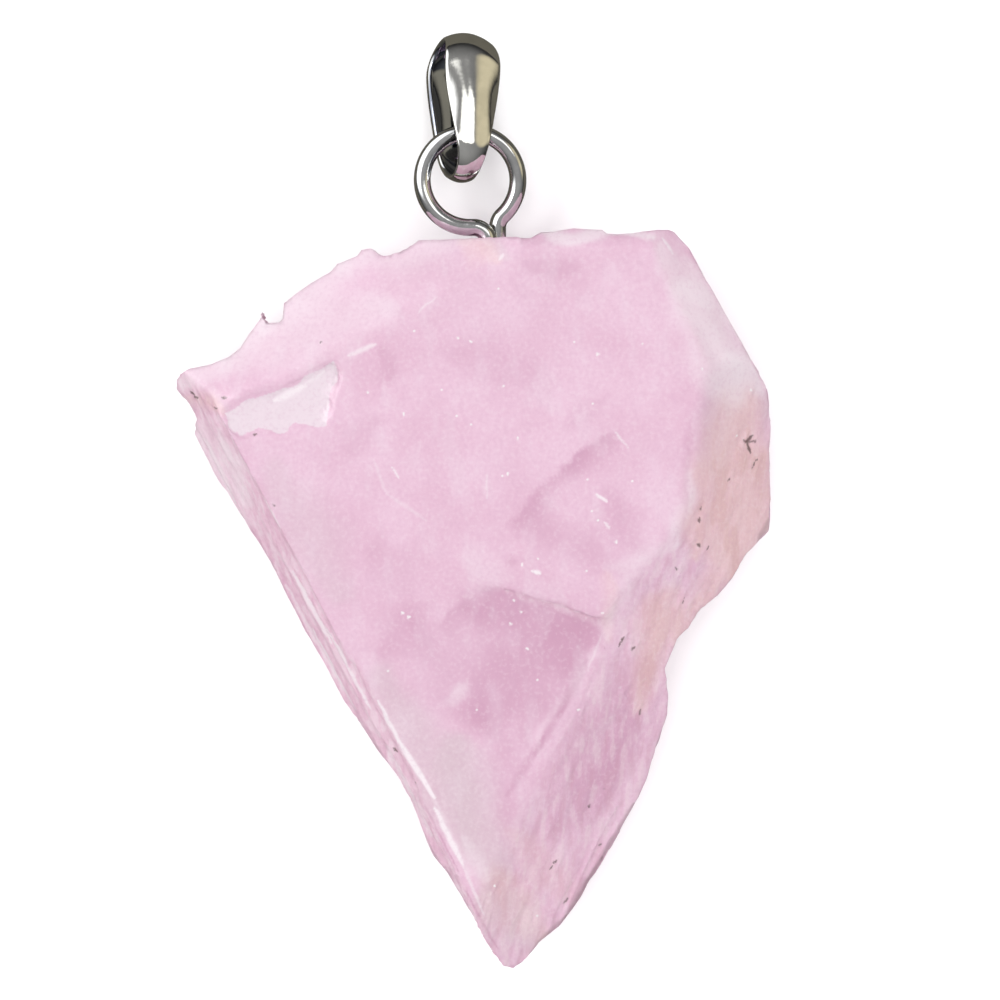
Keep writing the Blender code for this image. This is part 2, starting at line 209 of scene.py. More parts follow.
# The ridge where the splintered flank starts: a place on it, and the way from it to the flank
RIDGE = Vector((10.6, 0.5, 0))
TO_FLANK = Vector((0.85, -0.53, 0))
STONE_SPACING = 0.36 * MM
BACK_SPACING = 1.0 * MM
MARK_SPACING = 0.11 * MM
MARK_CELL = 0.2
MARK_LEVEL = 3
SPLITTING_ROUNDS = 8
SLIVER = 0.02 * MM
FLAT = 0.04 * MM
SHOULDER = 3 * MM
UPWARD = 0.1
CREASE = math.radians(4)
WEAR_ROUNDS = 10
WEAR_RINGS = 2
FOLD = math.radians(115)
UNFOLD_ROUNDS = 8
SHARP_BREAK = math.radians(32)
HOLE_X, HOLE_START, HOLE_Z, HOLE_REACH = 0.85 * MM, 9.0 * MM, 3.1 * MM, 1.35 * MM
# How the relief is drawn out each way, and how deep it is in millimetres
GROOVES, GROOVE_DEPTH = (0.04, 2.6, 1.6), 0.09
HACKLES, HACKLE_DEPTH = (0.3, 2.1, 0.8), 0.1
WAVES, WAVE_DEPTH, STEEP_WAVE_DEPTH = (0.5, 0.9, 1.0), 0.012, 0.07
PITS, PIT_DEPTH = 1.7, 0.03
# The white chip's rim, and the other steps that are worn soft, in millimetres seen from above
CHIP_RIM = [
    (-12.45, 4.3), (-11.1, 5.1), (-9.75, 5.35), (-8.1, 6.2), (-6.95, 6.85), (-6.8, 6.35),
    (-7.15, 5.15), (-7.35, 3.85), (-8.7, 3.8), (-9.3, 3.4), (-10.5, 3.6), (-11.7, 3.15),
    (-12.45, 4.3),
]
WORN_STEPS = [
    CHIP_RIM,
    [(-1.75, -5.85), (0.65, -4.2), (3.25, -5.1), (6.2, -6.05), (8.5, -6.2)],
    [(-10.6, 0.2), (-1.1, -18.0)],
]
WORN_REACH = 0.9
# How far the chip's rim is torn and how finely, and how level the stone is where it is white
CHIP_TEAR, CHIP_FRAY, CHIP_LEVEL = 0.2, 1.4, 0.5
# How finely the edges of the marks are frayed, and how far they are torn
BROAD_FRAY, BROAD_TEAR = 2.0, 0.35
FINE_FRAY, FINE_TEAR = 0.5, 0.12
SPECK_FRAY, SPECK_TEAR = 0.15, 0.35
# The noise that tears them starts from a fixed seed, to be the same in each run
FRAY_SEED = 7
noise.seed_set(FRAY_SEED)

# Where the stone is paler, deeper, greyer or stained, in millimetres seen from above: from, to,
# reach, softness and strength
BROAD_MARKS = {
    "pale": [
        ((-14.2, 6.0), (-10.5, 8.8), 1.6, 0.9, 0.4),
        ((-10.5, 8.8), (-6.8, 11.8), 2.2, 0.9, 0.38),
        ((-6.8, 11.8), (0.0, 13.3), 1.6, 0.9, 0.35),
        ((-12.0, 7.0), (-4.5, 9.6), 2.6, 0.9, 0.3),
        ((-5.0, 10.0), (1.5, 12.3), 2.4, 0.9, 0.1),
        ((0.0, 13.3), (9.0, 13.4), 0.5, 0.7, 0.65),
        ((9.4, 12.9), (11.2, 9.8), 1.3, 0.9, 0.4),
        ((10.6, 12.2), (13.0, 8.4), 0.7, 0.9, 0.3),
        ((10.6, 9.4), (12.6, 6.6), 0.8, 0.9, 0.3),
        ((12.3, 7.0), (14.3, 5.4), 1.3, 0.9, 0.5),
        ((10.6, 10.6), (12.8, 5.0), 2.0, 0.9, 0.5),
        ((10.9, 1.6), (10.0, -2.0), 0.6, 0.9, 0.35),
        ((10.0, -2.0), (6.8, -3.4), 0.7, 0.9, 0.25),
        ((8.4, -3.0), (6.3, -6.8), 1.1, 0.9, 0.25),
        ((5.9, -7.2), (3.2, -12.4), 0.5, 0.9, 0.15),
        ((-0.4, -2.8), (1.6, -3.9), 1.1, 0.9, 0.12),
        ((-1.2, -9.2), (-0.8, -9.8), 0.7, 0.9, 0.35),
        ((-0.6, -17.0), (0.6, -18.6), 0.8, 0.9, 0.3),
        ((-12.9, 3.4), (-11.2, 0.0), 0.6, 0.9, 0.4),
        ((-13.9, 3.4), (-11.6, -1.0), 1.3, 0.9, 0.35),
        ((12.2, 9.6), (14.0, 6.2), 1.0, 0.9, 0.25),
    ],
    "deep": [
        ((0.0, -5.2), (2.2, -6.6), 2.2, 0.9, 0.45),
        ((2.2, -5.6), (5.8, -6.8), 1.8, 0.9, 0.4),
        ((3.6, -6.6), (4.6, -8.0), 2.6, 0.9, 0.55),
        ((2.6, -7.6), (0.4, -10.5), 3.4, 0.9, 0.55),
        ((5.0, -7.4), (2.6, -11.6), 1.6, 0.9, 0.4),
        ((-2.5, -5.5), (-4.5, -7.5), 2.4, 0.9, 0.35),
        ((-2.6, -6.6), (0.0, -10.2), 2.6, 0.9, 0.35),
        ((-4.8, -2.6), (-3.4, -4.4), 2.0, 0.9, 0.25),
        ((0.9, -11.0), (2.3, -16.5), 2.0, 0.9, 0.3),
        ((-3.0, 12.0), (0.4, 11.4), 1.6, 0.9, 0.2),
        ((8.6, -8.0), (4.5, -16.0), 2.6, 0.9, 0.5),
        ((7.8, -11.0), (6.2, -15.0), 1.4, 0.9, 0.3),
        ((2.6, -1.2), (7.5, -3.4), 2.0, 0.9, 0.3),
        ((6.4, 0.4), (8.2, -2.4), 1.5, 0.9, 0.3),
        ((1.5, -2.9), (1.6, -2.9), 1.0, 0.9, 0.4),
        ((-3.9, 9.6), (-3.6, 9.6), 0.6, 0.9, 0.3),
        ((-4.8, 7.2), (-4.0, 6.2), 0.9, 0.9, 0.35),
        ((-1.3, 7.6), (3.6, 5.6), 1.8, 0.9, 0.2),
        ((2.6, 11.8), (5.0, 11.4), 1.3, 0.9, 0.3),
        ((-4.9, 3.7), (-6.2, 2.2), 1.5, 0.9, 0.25),
        ((4.3, 3.6), (6.5, 5.0), 1.2, 0.9, 0.2),
        ((-13.2, 1.8), (-4.2, -14.3), 0.35, 0.8, 0.5),
        ((-4.0, -14.9), (1.0, -22.8), 0.35, 0.8, 0.5),
    ],
    "grey": [
        ((-4.6, -9.0), (-0.6, -17.0), 2.8, 0.9, 0.55),
        ((-1.0, -12.0), (1.0, -18.6), 2.4, 0.9, 0.65),
        ((-10.0, 1.5), (-6.5, -4.5), 2.4, 0.9, 0.35),
        ((-14.5, 5.6), (-12.5, 4.6), 1.2, 0.9, 0.5),
        ((13.2, 7.2), (14.4, 4.6), 1.1, 0.9, 0.5),
        ((11.2, 10.6), (12.2, 8.2), 0.9, 0.9, 0.3),
        ((0.2, 12.7), (1.4, 12.2), 1.0, 0.9, 0.5),
        ((0.8, -19.6), (2.8, -22.2), 2.2, 0.9, 0.6),
        ((12.6, 6.4), (12.0, 1.6), 1.8, 0.9, 0.5),
    ],
    "stain": [
        ((1.0, -18.6), (3.2, -21.8), 2.2, 0.9, 0.35),
        ((2.0, -16.5), (4.5, -19.5), 1.6, 0.9, 0.25),
        ((13.4, 4.6), (12.8, -4.0), 3.2, 0.9, 0.9),
        ((14.4, 2.5), (13.8, -2.5), 1.6, 0.9, 0.8),
        ((12.4, 4.9), (11.6, 1.0), 1.6, 0.9, 0.4),
        ((11.8, -4.2), (10.2, -6.6), 1.6, 0.9, 0.6),
        ((11.4, 1.6), (11.0, -3.0), 1.2, 0.9, 0.6),
        ((9.6, -4.5), (8.0, -10.5), 1.6, 0.9, 0.7),
        ((6.8, -3.8), (6.5, -6.8), 0.9, 0.9, 0.4),
        ((-0.8, 12.6), (1.0, 11.8), 1.1, 0.9, 0.6),
        ((-13.8, 5.0), (-12.6, 4.4), 0.8, 0.9, 0.5),
    ],
}

# Inner cleavages and the step of the lower face, which show a shade on the right of the way
# from one end to the other, or on its left where the reach is negative: layer, from, to, reach
# and strength
CLEAVAGES = [
    ("deep", (1.5, -1.1), (3.3, 0.5), 1.6, 0.45),
    ("deep", (2.4, 0.0), (5.3, 2.5), 1.3, 0.45),
    ("deep", (4.2, 1.7), (6.9, 3.4), 1.3, 0.6),
    ("deep", (-1.9, -5.9), (0.7, -4.15), 2.6, 0.5),
    ("deep", (0.5, -4.15), (2.8, -4.75), 2.8, 0.55),
    ("deep", (2.4, -4.65), (6.2, -6.05), 2.8, 0.45),
    ("deep", (10.5, -2.2), (10.7, 3.6), -0.5, 0.6),
]

# Cracks, grooves whose crests are painted white as highlight, dark lines, and a painted shade
# along the lower right rim: from, to, reach, softness and strength
FINE_MARKS = {
    "pale": [
        ((-9.9, 4.95), (-8.3, 5.75), 0.32, 0.9, 1.0),
        ((-8.4, 5.75), (-7.4, 6.4), 0.16, 0.9, 0.6),
        ((-6.2, 7.2), (-4.9, 7.75), 0.22, 0.9, 0.7),
        ((6.9, 3.45), (7.6, 2.6), 0.09, 0.8, 0.6),
        ((-5.0, 2.1), (-4.4, 0.4), 0.14, 0.9, 0.3),
        ((-4.4, 0.4), (-2.4, -1.0), 0.14, 0.9, 0.3),
        ((-4.1, 1.7), (-3.7, 1.1), 0.09, 0.8, 0.8),
        ((0.6, 1.3), (0.6, 0.1), 0.08, 0.8, 0.45),
        ((-2.8, 9.3), (-1.9, 10.1), 0.1, 0.9, 0.5),
        ((1.2, 11.9), (1.4, 12.2), 0.15, 0.8, 0.7),
        ((9.3, 13.0), (9.9, 12.2), 0.12, 0.8, 0.7),
        # From here to the mark at (-13.5, 3.05), the lines run down the grooved left side: real
        # grooves, whose bright crests are painted white as highlight
        ((-10.4, 0.0), (-9.6, -1.4), 0.12, 0.8, 0.6),
        ((-9.1, -3.5), (-7.2, -7.1), 0.13, 0.6, 0.8),
        ((-7.5, -6.2), (-5.2, -10.3), 0.12, 0.6, 0.8),
        ((-9.5, -4.2), (-7.6, -7.8), 0.12, 0.8, 0.5),
        ((-7.6, -7.8), (-6.0, -10.4), 0.12, 0.8, 0.5),
        ((-8.2, -6.4), (-6.6, -9.4), 0.08, 0.6, 0.8),
        ((-4.8, -9.9), (-3.6, -12.2), 0.17, 0.6, 0.95),
        ((-3.8, -11.8), (-2.0, -14.7), 0.22, 0.6, 1.0),
        ((-4.5, -12.2), (-2.2, -16.7), 0.24, 0.8, 0.4),
        ((-2.0, -15.2), (-0.6, -18.0), 0.2, 0.6, 0.95),
        ((-0.7, -17.8), (0.5, -20.6), 0.12, 0.7, 0.55),
        ((-2.3, -14.2), (-0.2, -18.6), 0.2, 0.9, 0.3),
        ((-13.5, 3.05), (-12.0, -0.2), 0.25, 0.9, 0.5),
        ((2.85, -3.45), (3.25, -3.6), 0.14, 0.6, 1.0),
        ((6.0, 0.35), (6.55, -0.05), 0.12, 0.7, 0.9),
        ((6.4, -1.05), (6.7, -1.4), 0.1, 0.8, 0.7),
        ((6.3, -6.6), (5.6, -8.4), 0.1, 0.9, 0.35),
    ],
    "deep": [
        ((5.5, -7.9), (4.2, -10.6), 0.42, 0.9, 0.8),
        ((4.6, -9.7), (3.0, -12.6), 0.4, 0.9, 0.6),
        ((3.4, -11.7), (1.6, -14.6), 0.36, 0.9, 0.45),
        ((-0.5, -19.3), (1.2, -22.4), 0.1, 0.7, 0.9),
        ((-4.3, -11.6), (-0.8, -18.4), 0.1, 0.7, 0.7),
        ((-9.6, -3.2), (-5.6, -10.4), 0.1, 0.7, 0.6),
    ],
    # These four are painted shade along the lower right rim, where the stone's underside turns
    # away
    "specks_and_rim_shade": [
        ((8.0, -15.2), (6.4, -18.0), 0.28, 0.9, 0.45),
        ((6.4, -17.9), (4.5, -21.0), 0.32, 0.9, 0.55),
        ((4.6, -20.8), (2.8, -22.7), 0.28, 0.9, 0.5),
        ((14.85, -0.9), (14.2, -2.3), 0.26, 0.9, 0.4),
    ],
    "glint": [
        ((-3.6, -5.5), (-3.5, -5.55), 0.12, 0.6, 1.0),
        ((-3.3, -5.7), (-3.2, -5.75), 0.12, 0.6, 1.0),
    ],
}
# Small bright points where inner flaws catch the light
GLINTS = [
    (-3.05, 8.4), (-0.9, 8.05), (-0.2, 7.9), (1.15, 10.5), (4.85, 7.85), (6.05, 7.25),
    (1.35, 5.7), (5.8, 4.85), (-0.95, 4.2), (-0.2, 3.8), (-3.55, 4.3), (-5.35, 5.4),
    (-1.65, 5.5), (2.1, 3.15), (1.35, 1.25), (1.6, 1.35), (5.5, 1.05), (7.75, 1.0),
    (5.8, -0.45), (6.05, -0.95), (6.95, -2.05), (5.5, -3.45), (2.3, -3.15), (3.1, -2.85),
    (1.9, -4.9), (2.25, -5.5), (1.75, -6.05), (2.55, -7.3), (3.05, -8.85), (6.3, -5.5),
    (-4.35, -8.4), (8.25, 7.75), (11.2, 6.55), (13.75, 5.55), (13.05, 3.25), (0.0, -10.35),
    (0.95, -19.1), (3.15, -20.7), (5.1, -10.35), (7.25, -9.3),
]
GLINT_RUN, GLINT_RISE, GLINT_REACH = 0.08, -0.02, 0.085
for x, y in GLINTS:
    glint_end = x + GLINT_RUN, y + GLINT_RISE
    FINE_MARKS["glint"].append(((x, y), glint_end, GLINT_REACH, 0.6, 1.0))

# Dark specks of manganese on the broken flanks: where each is, how long, its lean and reach
SPECKS = [
    (13.72, 3.08, 0.5, 47, 0.12), (13.7, 2.68, 0.6, 108, 0.11), (13.87, 2.97, 0.5, 8, 0.06),
    (13.55, 2.95, 0.25, 150, 0.1), (13.96, 1.8, 0.36, 70, 0.06), (14.13, 2.02, 0.16, 20, 0.04),
    (12.75, 1.05, 0.2, 60, 0.06), (11.3, -0.4, 0.14, 60, 0.05), (11.2, -0.95, 0.2, 75, 0.07),
    (11.15, -2.2, 0.18, 120, 0.08), (11.6, -2.35, 0.2, 60, 0.04), (10.05, -3.4, 0.16, 120, 0.06),
    (10.4, -5.0, 0.45, 75, 0.05), (7.35, -6.9, 0.34, 70, 0.06), (7.2, -7.15, 0.26, 75, 0.06),
    (7.85, -7.35, 0.24, 30, 0.07), (8.25, -10.5, 0.3, 80, 0.06), (6.5, -14.35, 0.15, 50, 0.06),
    (5.75, -15.25, 0.12, 50, 0.05), (4.05, -18.0, 0.36, 50, 0.05), (3.85, -18.3, 0.26, 55, 0.05),
    (6.3, -17.25, 0.16, 50, 0.06), (4.6, -20.05, 0.28, 45, 0.06), (-14.1, 5.3, 0.25, 150, 0.08),
    (-13.95, 5.1, 0.25, 175, 0.07), (-12.4, 5.1, 0.22, 160, 0.09), (-12.85, 4.6, 0.3, 165, 0.05),
    (-10.85, 3.3, 0.2, 30, 0.08), (-7.65, 7.85, 0.1, 30, 0.07), (-9.9, -0.25, 0.25, 120, 0.05),
    (-3.0, -14.0, 0.1, 80, 0.07), (-4.0, -12.4, 0.3, 140, 0.05),
]
SPECK_MARKS = []
for x, y, length, lean, reach in SPECKS:
    half = Vector((math.cos(math.radians(lean)), math.sin(math.radians(lean)))) * length / 2
    SPECK_MARKS.append((Vector((x, y)) - half, Vector((x, y)) + half, reach, 0.6, 0.95))


def share(value, start, end):
    """How far a value is from start to end, from 0 to 1."""
    return min(1.0, max(0.0, (value - start) / (end - start)))


def smooth(value):
    return value * value * (3 - 2 * value)


def gap_to(place, start, end):
    """How far a place is from a line between two points, all seen from above."""
    run = end - start
    part = share((place - start).dot(run), 0, run.length_squared)
    return (place - start - run * part).length


def lines_of(points):
    return [(Vector(start), Vector(end)) for start, end in zip(points, points[1:])]


def in_chip(place):
    """Whether the white chip's rim, a little torn, runs round a place seen from above."""
    torn = (place.to_3d() + noise.noise_vector(place.to_3d() * CHIP_FRAY) * CHIP_TEAR).to_2d()
    crossings = 0
    for start, end in lines_of(CHIP_RIM):
        if (start.y > torn.y) != (end.y > torn.y):
            part = (torn.y - start.y) / (end.y - start.y)
            crossings += start.x + part * (end.x - start.x) > torn.x
    return crossings % 2 == 1


def ridged(spot):
    """Noise with sharp crests, from 0 in the grooves to 1 on the crests."""
    return 1 - min(1.0, 2 * abs(noise.noise(spot)))


def in_hole(spot):
    off = Vector((spot.x - HOLE_X, spot.z - HOLE_Z))
    return spot.y > HOLE_START and off.length < HOLE_REACH


def flank(spot, normal):
    """How much a place belongs to the splintered right flank, from 0 to 1."""
    past_ridge = (spot / MM - RIDGE).dot(TO_FLANK)
    return share(past_ridge, -1, 1) * share(1 - normal.z, 0, 0.11) if normal.z > 0 else 0.0


def left_side(normal, full):
    """How much a place belongs to the grooved left side, from 0 to 1."""
    return share(normal.dot(-ACROSS), 0.15, full)


def drawn_out(place, stretch):
    """A place for noise that is drawn out by a different amount each way."""
    return Vector([part * amount for part, amount in zip(place, stretch)])


def stone_relief(spot, normal):
    """How deep the fine relief sinks at a place, in metres."""
    place = spot / MM
    by_axis = place.dot(AXIS), place.dot(ACROSS), place.z
    by_splinter = place.dot(SPLINTER), place.dot(SPLINTER.cross(UP)), place.z
    steep = share(1 - abs(normal.z), 0, 0.33)
    grooves = ridged(drawn_out(by_axis, GROOVES))
    hackles = ridged(drawn_out(by_splinter, HACKLES))
    waves = noise.noise(drawn_out(by_axis, WAVES))
    pits = noise.noise(place * PITS)
    depth = GROOVE_DEPTH * left_side(normal, 0.65) * (1 - grooves)
    depth += HACKLE_DEPTH * flank(spot, normal) * (1 - hackles)
    depth += (WAVE_DEPTH + STEEP_WAVE_DEPTH * steep) * (0.5 + 0.5 * waves)
    depth += PIT_DEPTH * steep * (0.5 + 0.5 * pits)
    return depth * MM


def near_cells(marks):
    """The squares of a fine grid that the marks pass through or beside."""
    cells = set()
    for start, end, reach, _, _ in marks:
        begin, run = Vector(start), Vector(end) - Vector(start)
        steps = 1 + int(run.length / MARK_CELL)
        for step in range(steps + 1):
            on_mark = begin + run * step / steps
            near = 1 + int(reach / MARK_CELL)
            column, row = round(on_mark.x / MARK_CELL), round(on_mark.y / MARK_CELL)
            for aside in range(-near, near + 1):
                cells.update((column + aside, row + up) for up in range(-near, near + 1))
    return cells


chip_marks = [(start, end, 0.2, 0, 0) for start, end in lines_of(CHIP_RIM)]
fine_cells = near_cells(sum(FINE_MARKS.values(), SPECK_MARKS + chip_marks))


def coarse(edge):
    """How long an edge may be at first: long on the back, which is flat."""
    return BACK_SPACING if max(vert.co.z for vert in edge.verts) < FLAT else STONE_SPACING


def fine(edge):
    """How long an edge may be in the end: short by the fine marks, to draw them crisp."""
    middle = (edge.verts[0].co + edge.verts[1].co) / 2 / MM
    cell = round(middle.x / MARK_CELL), round(middle.y / MARK_CELL)
    return MARK_SPACING if cell in fine_cells and middle.z > MARK_LEVEL else coarse(edge)


def split(shape, longest):
    """Halves each edge that is longer than it may be, until none is."""
    for _ in range(SPLITTING_ROUNDS):
        too_long = [edge for edge in shape.edges if edge.calc_length() > longest(edge)]
        bmesh.ops.subdivide_edges(shape, edges=too_long, cuts=1)
        bmesh.ops.triangulate(shape, faces=[face for face in shape.faces if len(face.verts) > 3])


def dissolve_slivers(shape):
    """Takes out triangles too narrow to shade well."""
    bmesh.ops.dissolve_degenerate(shape, edges=shape.edges, dist=SLIVER)
    bmesh.ops.triangulate(shape, faces=[face for face in shape.faces if len(face.verts) > 3])


def smoothed(shape, verts):
    bmesh.ops.smooth_vert(
        shape, verts=list(verts), factor=0.5, use_axis_x=True, use_axis_y=True, use_axis_z=True
    )


def on_crease(edge):
    """Whether two faces that look up meet at this edge in a crease, away from the outline."""
    upward = all(face.normal.z > UPWARD for vert in edge.verts for face in vert.link_faces)
    return upward and edge.verts[0].co.z > SHOULDER and edge.calc_face_angle(0) > CREASE


worn_lines = [line for points in WORN_STEPS for line in lines_of(points)]


def on_worn_step(vert):
    place = (vert.co / MM).to_2d()
    return vert.co.z > SHOULDER and any(gap_to(place, *line) < WORN_REACH for line in worn_lines)


stone_shape = bmesh.new()
stone_shape.from_mesh(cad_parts["kunzite"].data)
bmesh.ops.remove_doubles(stone_shape, verts=stone_shape.verts, dist=MM / 1000)
split(stone_shape, coarse)
dissolve_slivers(stone_shape)
stone_shape.normal_update()
worn = {vert for edge in stone_shape.edges if on_crease(edge) for vert in edge.verts}
for _ in range(WEAR_RINGS):
    beside = {edge.other_vert(vert) for vert in worn for edge in vert.link_edges}
    worn |= {vert for vert in beside if all(face.normal.z > UPWARD for face in vert.link_faces)}
worn |= {vert for vert in stone_shape.verts if on_worn_step(vert)}
for _ in range(WEAR_ROUNDS):
    smoothed(stone_shape, worn)
split(stone_shape, fine)
dissolve_slivers(stone_shape)
stone_shape.normal_update()
layers = {}
for name in ("pale", "deep", "grey", "stain", "specks_and_rim_shade", "glint", "flank", "left", "chip"):
    layers[name] = stone_shape.verts.layers.float.new(name)
on_front = kdtree.KDTree(len(stone_shape.verts))
for vert in stone_shape.verts:
    vert[layers["flank"]] = flank(vert.co, vert.normal)
    vert[layers["left"]] = left_side(vert.normal, 0.5)
    if vert.normal.z > UPWARD:
        on_front.insert((vert.co / MM).to_2d().to_3d(), vert.index)
        if vert.normal.z > CHIP_LEVEL:
            vert[layers["chip"]] = float(in_chip((vert.co / MM).to_2d()))
on_front.balance()
stone_shape.verts.ensure_lookup_table()


def marked(layer, mask, middle, reach):
    """Adds a mask to one of the stone's layers, at every place of the front within reach."""
    for place, index, _ in on_front.find_range(middle.to_3d(), reach):
        amount = mask(place)
        if amount > 0:
            vert = stone_shape.verts[index]
            vert[layers[layer]] = 1 - (1 - vert[layers[layer]]) * (1 - amount)


def brush(layer, start, end, reach, soft, strength, fray, tear):
    """A soft line with a frayed edge, thinner at its ends."""
    start, end = Vector(start), Vector(end)
    run = end - start

    def mask(place):
        torn = (place + noise.noise_vector(place / fray) * fray * tear).to_2d()
        part = share((torn - start).dot(run), 0, run.length_squared)
        width = reach * (1 - 0.55 * (2 * part - 1) ** 2)
        return strength * smooth(share(gap_to(torn, start, end), width, width * (1 - soft)))
    marked(layer, mask, (start + end) / 2, run.length / 2 + reach + fray)


def cleave(layer, start, end, reach, strength):
    """A shade that is crisp along a line and fades to one side of it and towards its ends."""
    start, end = Vector(start), Vector(end)
    run = end - start
    side = Vector((run.y, -run.x)).normalized() * math.copysign(1, reach)
    reach = abs(reach)

    def mask(place):
        torn = (place + noise.noise_vector(place * 1.2) * 0.25).to_2d()
        part = (torn - start).dot(run) / run.length_squared
        away = (torn - start).dot(side)
        window = smooth(share(abs(part - 0.5), 0.65, 0.35))
        return strength * window * smooth(share(away, reach, 0)) * share(away, -0.05, 0.05)
    marked(layer, mask, (start + end) / 2, run.length / 2 + reach)


for layer, marks in BROAD_MARKS.items():
    for mark in marks:
        brush(layer, *mark, BROAD_FRAY, BROAD_TEAR)
for layer, marks in FINE_MARKS.items():
    for mark in marks:
        brush(layer, *mark, FINE_FRAY, FINE_TEAR)
for mark in SPECK_MARKS:
    brush("specks_and_rim_shade", *mark, SPECK_FRAY, SPECK_TEAR)
for mark in CLEAVAGES:
    cleave(*mark)
sunk = []
for vert in stone_shape.verts:
    if vert.co.z > FLAT and not in_hole(vert.co):
        sunk.append((vert, vert.normal * stone_relief(vert.co, vert.normal)))
for vert, sink in sunk:
    vert.co -= sink
# Where the relief has folded the surface over, it is smoothed out again
for _ in range(UNFOLD_ROUNDS):
    stone_shape.normal_update()
    folds = [edge for edge in stone_shape.edges if edge.calc_face_angle(0) > FOLD]
    smoothed(stone_shape, {vert for edge in folds for vert in edge.verts})
stone = linked(mesh_from(stone_shape, "kunzite_stone"), "kunzite_stone")
stone.data.shade_smooth()
stone.data.set_sharp_from_angle(angle=SHARP_BREAK)

# The colours are picked from the lit stone, in levels of 255, so they are darkened to
# what it must be painted for the light to bring them back
LIGHT_GAIN = 0.845
LILAC, DEEPER_LILAC = (238, 199, 221), (232, 188, 212)
DEEP_PINK, GREY, VEIL = (203, 143, 176), (218, 196, 205), (247, 230, 241)
# The first colour here lightens the sides that face left, as painted light against their shade,
# and the light thread is painted highlight on the grooves' crests
LEFT_SIDE_PAINTED_LIGHT, THREAD_HIGHLIGHT, DARK_THREAD = (243, 204, 222), (255, 241, 248), (214, 164, 190)
LIGHT_FIBRE, DARK_FIBRE = (246, 226, 230), (213, 160, 180)
STAIN, BLOTCH = (243, 206, 203), (214, 166, 154)
# The last colour here is for the dark specks, and for the painted shade along the lower right rim
CHIP_WHITE, PALE, GLINT, SPECK_AND_RIM_SHADE = (241, 230, 237), (254, 245, 250), (255, 255, 255), (96, 76, 72)
LIGHT_GRAIN, DARK_GRAIN = (255, 236, 246), (205, 150, 185)
# The noises in the stone: how fine, how detailed, how drawn out each way, and how far turned
DRIFT = 0.3, 5.0
VEILS = 0.8, 4.0, (1.0, 0.4, 1.0), 62.0
FLANK_FIBRES = 2.4, 4.0, (1.0, 0.13, 1.0), -23.5
LEFT_THREADS = 2.6, 3.0, (1.0, 0.05, 1.0), 27.6
GRAIN = 5.0, 3.0
KUNZITE_IOR = 1.66
CLEARNESS = 0.35
ROUGHNESS, FLANK_DULLNESS = 0.36, 0.12
GRAIN_DEPTH, FIBRE_DEPTH = 0.02 * MM, 2.5


def paint(levels):
    return [LIGHT_GAIN * (level / 255) ** 2.2 for level in levels] + [1.0]


def in_mm(tree):
    """The place on the piece, in millimetres."""
    here = add(tree, "ShaderNodeTexCoord", {}).outputs["Object"]
    scaled = add(tree, "ShaderNodeVectorMath", {0: here, "Scale": 1 / MM}, operation="SCALE")
    return scaled.outputs["Vector"]


def cloud(tree, spot, scale, detail=3.0, stretch=(1, 1, 1), turn=0.0):
    """Noise from 0 to 1 over a place in millimetres, which may be stretched and turned."""
    turned = add(tree, "ShaderNodeMapping", {
        "Vector": spot, "Rotation": (0, 0, math.radians(turn)), "Scale": stretch,
    })
    made = add(tree, "ShaderNodeTexNoise", {
        "Vector": turned.outputs[0], "Scale": scale, "Detail": detail,
    })
    return made.outputs["Fac"]


kunzite = bpy.data.materials.new("kunzite")
kunzite.use_nodes = True
tree = kunzite.node_tree
shader = tree.nodes["Principled BSDF"]
spot = in_mm(tree)
masks = {}
for name in layers:
    masks[name] = add(tree, "ShaderNodeAttribute", {}, attribute_name=name).outputs["Fac"]
drift = cloud(tree, spot, *DRIFT)
colour = washed(tree, paint(LILAC), paint(DEEPER_LILAC), fade(tree, drift, 0.64, 0.36))
colour = washed(tree, colour, paint(DEEP_PINK), masks["deep"], 0.95)
colour = washed(tree, colour, paint(GREY), masks["grey"])
veils = cloud(tree, spot, *VEILS)
colour = washed(tree, colour, paint(VEIL), fade(tree, veils, 0.68, 0.5), 0.22)
# Painted light: the sides that face left are made lighter against the shade they turn into
colour = washed(tree, colour, paint(LEFT_SIDE_PAINTED_LIGHT), masks["left"], 0.7)
fibres = cloud(tree, spot, *FLANK_FIBRES)
light_fibres = maths(tree, "MULTIPLY", fade(tree, fibres, 0.62, 0.5), masks["flank"])
dark_fibres = maths(tree, "MULTIPLY", fade(tree, fibres, 0.36, 0.5), masks["flank"])
colour = washed(tree, colour, paint(LIGHT_FIBRE), light_fibres, 0.3)
colour = washed(tree, colour, paint(DARK_FIBRE), dark_fibres, 0.3)
colour = washed(tree, colour, paint(STAIN), masks["stain"], 0.75)
blotches = maths(tree, "MULTIPLY", fade(tree, veils, 0.4, 0.52), masks["stain"])
colour = washed(tree, colour, paint(BLOTCH), blotches, 0.35)
threads = cloud(tree, spot, *LEFT_THREADS)
# The light threads are the grooves' crests, painted white as highlight
thread_highlights = maths(tree, "MULTIPLY", fade(tree, threads, 0.6, 0.5), masks["left"])
dark_threads = maths(tree, "MULTIPLY", fade(tree, threads, 0.36, 0.46), masks["left"])
colour = washed(tree, colour, paint(THREAD_HIGHLIGHT), thread_highlights, 0.35)
colour = washed(tree, colour, paint(DARK_THREAD), dark_threads, 0.4)
colour = washed(tree, colour, paint(CHIP_WHITE), masks["chip"], 0.8)
colour = washed(tree, colour, paint(PALE), masks["pale"])
grain = cloud(tree, spot, *GRAIN)
colour = washed(tree, colour, paint(LIGHT_GRAIN), fade(tree, grain, 0.7, 0.5), 0.2)
colour = washed(tree, colour, paint(DARK_GRAIN), fade(tree, grain, 0.32, 0.5), 0.15)
colour = washed(tree, colour, paint(GLINT), masks["glint"])
